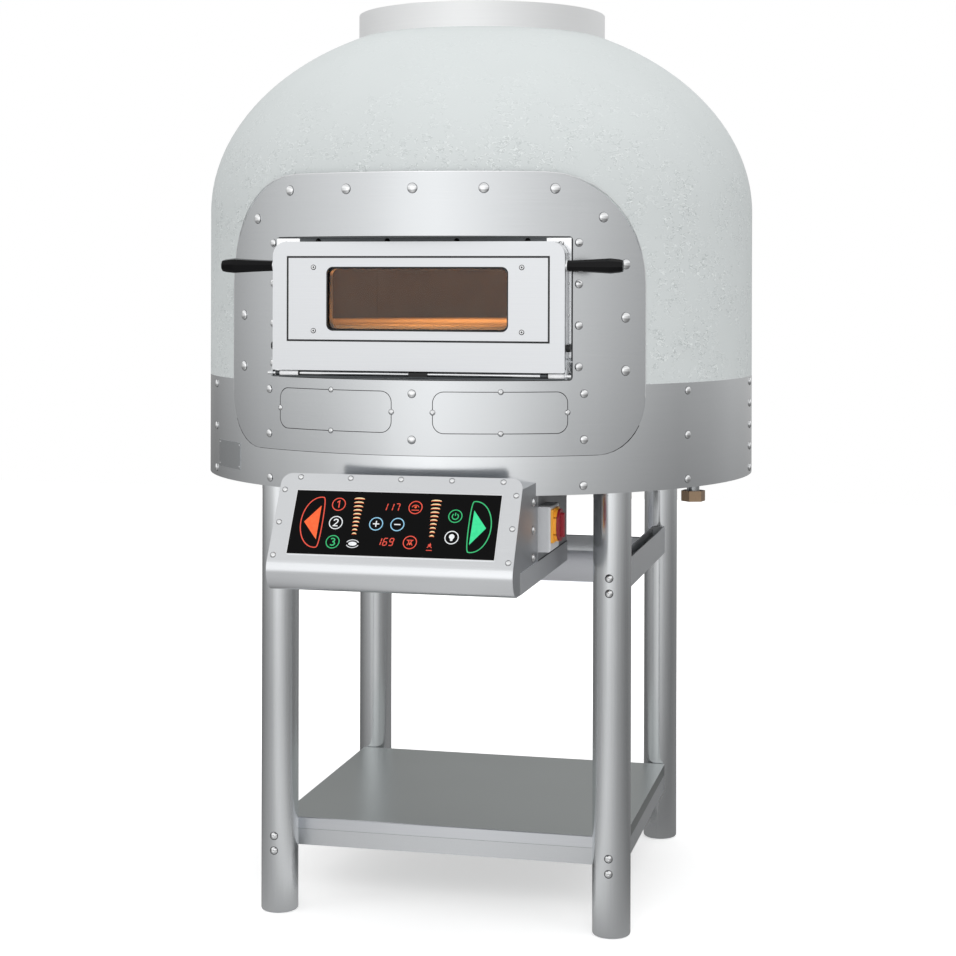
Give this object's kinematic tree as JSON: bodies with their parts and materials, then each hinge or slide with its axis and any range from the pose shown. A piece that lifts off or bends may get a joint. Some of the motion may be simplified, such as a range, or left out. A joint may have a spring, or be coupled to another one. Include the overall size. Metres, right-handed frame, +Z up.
{
  "type": "gas dome pizza oven on a round-leg stand",
  "caption": "Rendered dome oven with a rotating stone deck, drop-down glazed door, wrapped steel front, tilted touch panel and a round-leg steel stand with a shelf.",
  "frame": {"origin": "on the floor under the middle of the outline, in X and in Y", "axes": "+Z up, door and control panel towards -Y, +X to the right of someone facing the door"},
  "size_m": [1.1074, 1.2586, 1.752],
  "materials": {
    "leg_steel": "satin, fine grain along the leg",
    "rail_steel": "matte",
    "sheet_steel": "satin",
    "screw_steel": "turned, fairly bright",
    "frame_steel": "matte primer",
    "band_steel": "satin, grain along the band",
    "front_steel": "satin, grain along the sheet",
    "polished_steel": "polished",
    "mouth_steel": "satin, slightly darkened by heat",
    "door_steel": "satin, bright",
    "cowl_steel": "matte",
    "dark_steel": "matte",
    "flue_steel": "matte",
    "pipe_steel": "satin",
    "burner_steel": "matte, heat tinted",
    "gear_steel": "machined",
    "iron": "cast, rough",
    "bronze": "machined",
    "brass": "machined, a little dull",
    "motor_paint": "semi-gloss",
    "black_metal": "matte",
    "render": "fine rough mineral render, pale grey-green",
    "refractory": "cast, rough",
    "deck_stone": "cast, smooth on top",
    "mineral_wool": "fibrous",
    "gasket_rope": "woven rope",
    "door_glass": "clear, heat proof",
    "lamp_glass": "pressed",
    "touch_glass": "black backed, glossy",
    "grip_plastic": "matte, turned",
    "isolator_grey": "fine texture",
    "isolator_yellow": "satin",
    "isolator_red": "satin"
  },
  "bodies": {
    "oven": {"leg_front_left": "leg_steel", "leg_front_right": "leg_steel", "leg_back_left": "leg_steel", "leg_back_right": "leg_steel", "lower_side_rails": "rail_steel", "upper_side_rails": "rail_steel", "cross_rails": "rail_steel", "shelf": "sheet_steel", "bottom_tray": "sheet_steel", "m8_screws": "screw_steel", "base_frame": "frame_steel", "base_band": "band_steel", "base_insulation": "mineral_wool", "front_sheet": "front_steel", "inspection_covers": "front_steel", "domed_rivets": "polished_steel", "face_screws": "screw_steel", "mouth_frame": "mouth_steel", "frame_strips": "polished_steel", "mouth_liner": "refractory", "plaster_shell": "render", "dome_insulation": "mineral_wool", "dome_block_front": "refractory", "dome_block_right": "refractory", "dome_block_back": "refractory", "dome_block_left": "refractory", "hearth_ring": "refractory", "flue_collar": "band_steel", "flue_pipe": "flue_steel", "bearing_housing": "iron", "shaft_bushes": "bronze", "gearmotor": "motor_paint", "inlet_nut": "brass", "gas_pipe": "pipe_steel", "deck_burner": "burner_steel", "flame_bar": "burner_steel", "chamber_lamp": "lamp_glass", "dome_probe": "screw_steel", "hinge_sill": "mouth_steel", "hinge_bearing": "black_metal", "control_face": "front_steel", "control_cowl": "cowl_steel", "control_box": "dark_steel", "control_tray": "dark_steel", "touch_glass": "touch_glass", "isolator_box": "isolator_grey", "isolator_base": "isolator_yellow"},
    "door": {"door_leaf": "door_steel", "door_panel": "door_steel", "door_glass": "door_glass", "door_gasket": "gasket_rope", "door_grips": "grip_plastic", "hinge_rod": "screw_steel", "hinge_arms": "screw_steel", "side_buffers": "polished_steel"},
    "deck": {"deck_stone": "deck_stone", "turntable": "iron", "drive_gear": "iron"},
    "pinion": {"pinion": "gear_steel"},
    "knob": {"isolator_knob": "isolator_red"}
  },
  "joints": [
    {"name": "door_hinge", "type": "hinge", "parent": "oven", "child": "door", "pos_m": [0, -0.4362, 1.0438], "axis": [1, 0, 0], "range_deg": [0, 90]},
    {"name": "deck_spin", "type": "hinge", "parent": "oven", "child": "deck", "pos_m": [0, 0.0793, 1.09], "axis": [0, 0, 1], "continuous": true},
    {"name": "pinion_spin", "type": "hinge", "parent": "oven", "child": "pinion", "pos_m": [0, 0.2293, 1.0397], "axis": [0, 0, 1], "continuous": true},
    {"name": "isolator_turn", "type": "hinge", "parent": "oven", "child": "knob", "pos_m": [0.242, -0.3667, 0.773], "axis": [1, 0, 0], "range_deg": [0, 90]}
  ],
  "couplings": [
    {"joint": "pinion_spin", "follows": "deck_spin", "ratio": -4}
  ]
}
